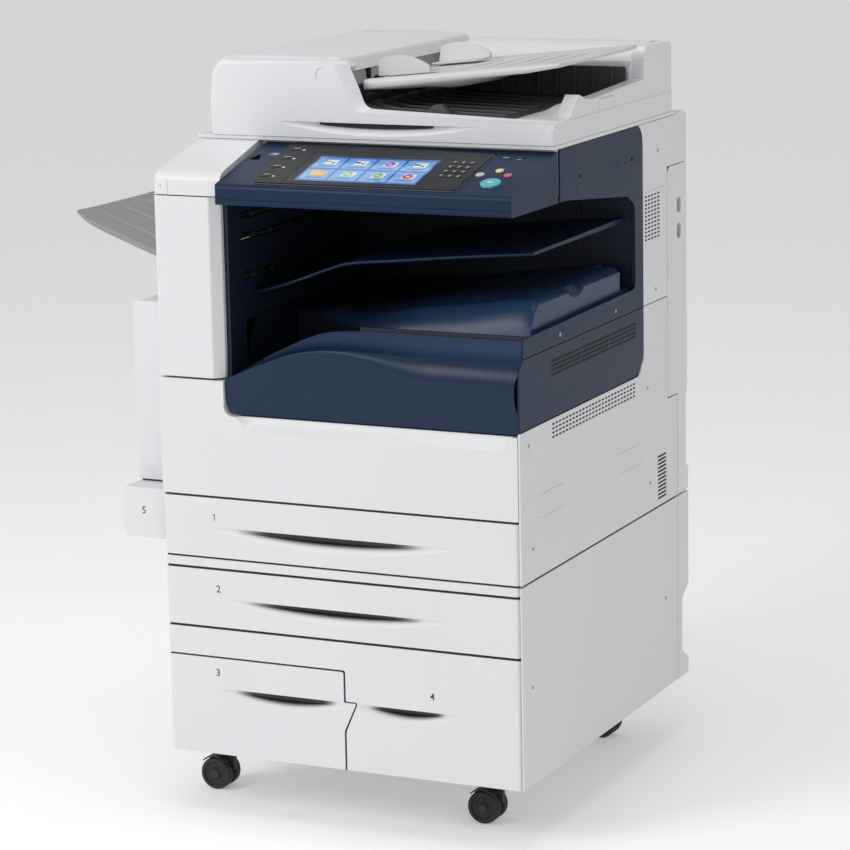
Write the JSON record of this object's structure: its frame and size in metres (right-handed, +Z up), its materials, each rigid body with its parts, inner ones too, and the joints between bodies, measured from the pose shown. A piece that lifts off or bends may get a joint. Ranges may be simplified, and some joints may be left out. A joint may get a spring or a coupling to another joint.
{
  "type": "photocopier",
  "caption": "Floor-standing multifunction photocopier with paper drawers, document feeder, sloped touch panel, open output cavity and casters.",
  "frame": {"origin": "middle of the footprint of the whole machine at floor level", "axes": "+Z up, -Y towards the user in front of the machine, +X to the right as seen from the front"},
  "size_m": [0.7818, 0.689, 1.121],
  "materials": {
    "white_plastic": "fine textured, satin",
    "navy_plastic": "satin, fine textured",
    "dark_cavity_plastic": "matte",
    "light_grey_plastic": "satin",
    "mid_grey_plastic": "fine textured",
    "charcoal_plastic": "satin",
    "frame_steel": "zinc-plated",
    "bin_steel": "light grey powder coat",
    "platen_glass": "clear polished",
    "screen_glass": "glossy",
    "start_teal": "satin",
    "stop_red": "satin",
    "clear_yellow": "satin",
    "key_grey": "satin",
    "roller_rubber": "matte",
    "caster_rubber": "matte",
    "screw_steel": "plain",
    "drum_green": "glossy"
  },
  "bodies": {
    "cabinet": {"base_plate": "frame_steel", "chassis_frame": "frame_steel", "cover_screws": "screw_steel", "divider_strip": "white_plastic", "front_column": "white_plastic", "fuser_unit": "charcoal_plastic", "imaging_drums": "drum_green", "lower_left_cover": "white_plastic", "lower_output_tray": "navy_plastic", "lower_right_cover": "white_plastic", "main_right_cover": "white_plastic", "middle_output_tray": "navy_plastic", "navy_lower_panel": "navy_plastic", "navy_side_frame": "navy_plastic", "output_liner": "dark_cavity_plastic", "panel_bezel": "charcoal_plastic", "panel_housing": "navy_plastic", "platen_glass": "platen_glass", "rear_cover_lower": "white_plastic", "rear_cover_upper": "white_plastic", "scanner_housing": "white_plastic", "side_output_tray": "mid_grey_plastic", "toner_cartridges": "charcoal_plastic", "touch_screen": "screen_glass", "transfer_belt_unit": "roller_rubber", "upper_left_cover": "white_plastic", "upper_rear_cover": "white_plastic"},
    "front_door": {"front_door": "white_plastic", "front_door_top": "navy_plastic"},
    "left_door": {"left_door": "white_plastic"},
    "bypass_tray": {"bypass_tray": "white_plastic"},
    "tray_1": {"tray_1_front": "white_plastic", "tray_1_bin": "bin_steel"},
    "caster_fork_1": {"caster_fork_1": "charcoal_plastic"},
    "caster_wheels_1": {"caster_wheels_1": "caster_rubber"},
    "tray_2": {"tray_2_front": "white_plastic", "tray_2_bin": "bin_steel"},
    "caster_fork_2": {"caster_fork_2": "charcoal_plastic"},
    "caster_wheels_2": {"caster_wheels_2": "caster_rubber"},
    "tray_3": {"tray_3_front": "white_plastic", "tray_3_bin": "bin_steel"},
    "caster_fork_3": {"caster_fork_3": "charcoal_plastic"},
    "caster_wheels_3": {"caster_wheels_3": "caster_rubber"},
    "tray_4": {"tray_4_front": "white_plastic", "tray_4_bin": "bin_steel"},
    "caster_fork_4": {"caster_fork_4": "charcoal_plastic"},
    "caster_wheels_4": {"caster_wheels_4": "caster_rubber"},
    "feeder_base": {"feeder_base": "white_plastic"},
    "feeder_cover": {"feeder_cover": "white_plastic"},
    "document_tray": {"document_tray": "light_grey_plastic"},
    "document_guide_front": {"document_guide_front": "light_grey_plastic"},
    "document_guide_rear": {"document_guide_rear": "light_grey_plastic"},
    "pick_roller": {"pick_roller": "roller_rubber"},
    "scan_carriage": {"scan_carriage": "charcoal_plastic"},
    "mirror_carriage": {"mirror_carriage": "charcoal_plastic"},
    "start_button": {"start_button": "start_teal"},
    "stop_button": {"stop_button": "stop_red"},
    "clear_button": {"clear_button": "clear_yellow"},
    "interrupt_button": {"interrupt_button": "key_grey"},
    "panel_keys": {"panel_keys": "key_grey"}
  },
  "joints": [
    {"name": "tray_1_slide", "type": "slide", "parent": "cabinet", "child": "tray_1", "axis": [0, -1, 0], "range_m": [0, 0.45]},
    {"name": "tray_2_slide", "type": "slide", "parent": "cabinet", "child": "tray_2", "axis": [0, -1, 0], "range_m": [0, 0.45]},
    {"name": "tray_3_slide", "type": "slide", "parent": "cabinet", "child": "tray_3", "axis": [0, -1, 0], "range_m": [0, 0.45]},
    {"name": "tray_4_slide", "type": "slide", "parent": "cabinet", "child": "tray_4", "axis": [0, -1, 0], "range_m": [0, 0.45]},
    {"name": "front_door_hinge", "type": "hinge", "parent": "cabinet", "child": "front_door", "pos_m": [-0.1789, -0.3145, 0.6], "axis": [0, 0, -1], "range_deg": [0, 100]},
    {"name": "left_door_hinge", "type": "hinge", "parent": "cabinet", "child": "left_door", "pos_m": [-0.1889, 0.2815, 0.6], "axis": [0, 0, -1], "range_deg": [0, 85]},
    {"name": "bypass_tray_hinge", "type": "hinge", "parent": "left_door", "child": "bypass_tray", "pos_m": [-0.2704, -0.0715, 0.426], "axis": [0, -1, 0], "range_deg": [0, 100]},
    {"name": "feeder_hinge", "type": "hinge", "parent": "cabinet", "child": "feeder_base", "pos_m": [0, 0.2815, 1.01], "axis": [-1, 0, 0], "range_deg": [0, 68]},
    {"name": "feeder_cover_hinge", "type": "hinge", "parent": "feeder_base", "child": "feeder_cover", "pos_m": [-0.1589, -0.0265, 1.058], "axis": [0, -1, 0], "range_deg": [0, 55]},
    {"name": "document_tray_hinge", "type": "hinge", "parent": "feeder_base", "child": "document_tray", "pos_m": [0.0781, -0.0265, 1.088], "axis": [0, -1, 0], "range_deg": [0, 40]},
    {"name": "document_guide_front_slide", "type": "slide", "parent": "document_tray", "child": "document_guide_front", "axis": [0, 1, 0], "range_m": [0, 0.05]},
    {"name": "document_guide_rear_slide", "type": "slide", "parent": "document_tray", "child": "document_guide_rear", "axis": [0, 1, 0], "range_m": [-0.05, 0]},
    {"name": "pick_roller_spin", "type": "hinge", "parent": "feeder_cover", "child": "pick_roller", "pos_m": [0.0411, -0.0015, 1.078], "axis": [0, 1, 0], "continuous": true},
    {"name": "scan_carriage_slide", "type": "slide", "parent": "cabinet", "child": "scan_carriage", "axis": [1, 0, 0], "range_m": [0, 0.4]},
    {"name": "mirror_carriage_slide", "type": "slide", "parent": "cabinet", "child": "mirror_carriage", "axis": [1, 0, 0], "range_m": [0, 0.2]},
    {"name": "start_button_press", "type": "slide", "parent": "cabinet", "child": "start_button", "axis": [0, 0.2517, -0.9678], "range_m": [0, 0.001], "stiffness_N_per_m": 400},
    {"name": "stop_button_press", "type": "slide", "parent": "cabinet", "child": "stop_button", "axis": [0, 0.2517, -0.9678], "range_m": [0, 0.001], "stiffness_N_per_m": 400},
    {"name": "clear_button_press", "type": "slide", "parent": "cabinet", "child": "clear_button", "axis": [0, 0.2517, -0.9678], "range_m": [0, 0.001], "stiffness_N_per_m": 400},
    {"name": "interrupt_button_press", "type": "slide", "parent": "cabinet", "child": "interrupt_button", "axis": [0, 0.2517, -0.9678], "range_m": [0, 0.001], "stiffness_N_per_m": 400},
    {"name": "panel_keys_press", "type": "slide", "parent": "cabinet", "child": "panel_keys", "axis": [0, 0.2517, -0.9678], "range_m": [0, 0.001], "stiffness_N_per_m": 800},
    {"name": "caster_1_swivel", "type": "hinge", "parent": "cabinet", "child": "caster_fork_1", "pos_m": [-0.1529, -0.2065, 0.087], "axis": [0, 0, 1], "continuous": true},
    {"name": "caster_1_spin", "type": "hinge", "parent": "caster_fork_1", "child": "caster_wheels_1", "pos_m": [-0.1689, -0.2065, 0.025], "axis": [0, 1, 0], "continuous": true},
    {"name": "caster_2_swivel", "type": "hinge", "parent": "cabinet", "child": "caster_fork_2", "pos_m": [0.2951, -0.2065, 0.087], "axis": [0, 0, 1], "continuous": true},
    {"name": "caster_2_spin", "type": "hinge", "parent": "caster_fork_2", "child": "caster_wheels_2", "pos_m": [0.2791, -0.2065, 0.025], "axis": [0, 1, 0], "continuous": true},
    {"name": "caster_3_swivel", "type": "hinge", "parent": "cabinet", "child": "caster_fork_3", "pos_m": [-0.1529, 0.2535, 0.087], "axis": [0, 0, 1], "continuous": true},
    {"name": "caster_3_spin", "type": "hinge", "parent": "caster_fork_3", "child": "caster_wheels_3", "pos_m": [-0.1689, 0.2535, 0.025], "axis": [0, 1, 0], "continuous": true},
    {"name": "caster_4_swivel", "type": "hinge", "parent": "cabinet", "child": "caster_fork_4", "pos_m": [0.2951, 0.2535, 0.087], "axis": [0, 0, 1], "continuous": true},
    {"name": "caster_4_spin", "type": "hinge", "parent": "caster_fork_4", "child": "caster_wheels_4", "pos_m": [0.2791, 0.2535, 0.025], "axis": [0, 1, 0], "continuous": true}
  ],
  "couplings": [
    {"joint": "document_guide_rear_slide", "follows": "document_guide_front_slide", "ratio": -1},
    {"joint": "mirror_carriage_slide", "follows": "scan_carriage_slide", "ratio": 0.5}
  ]
}
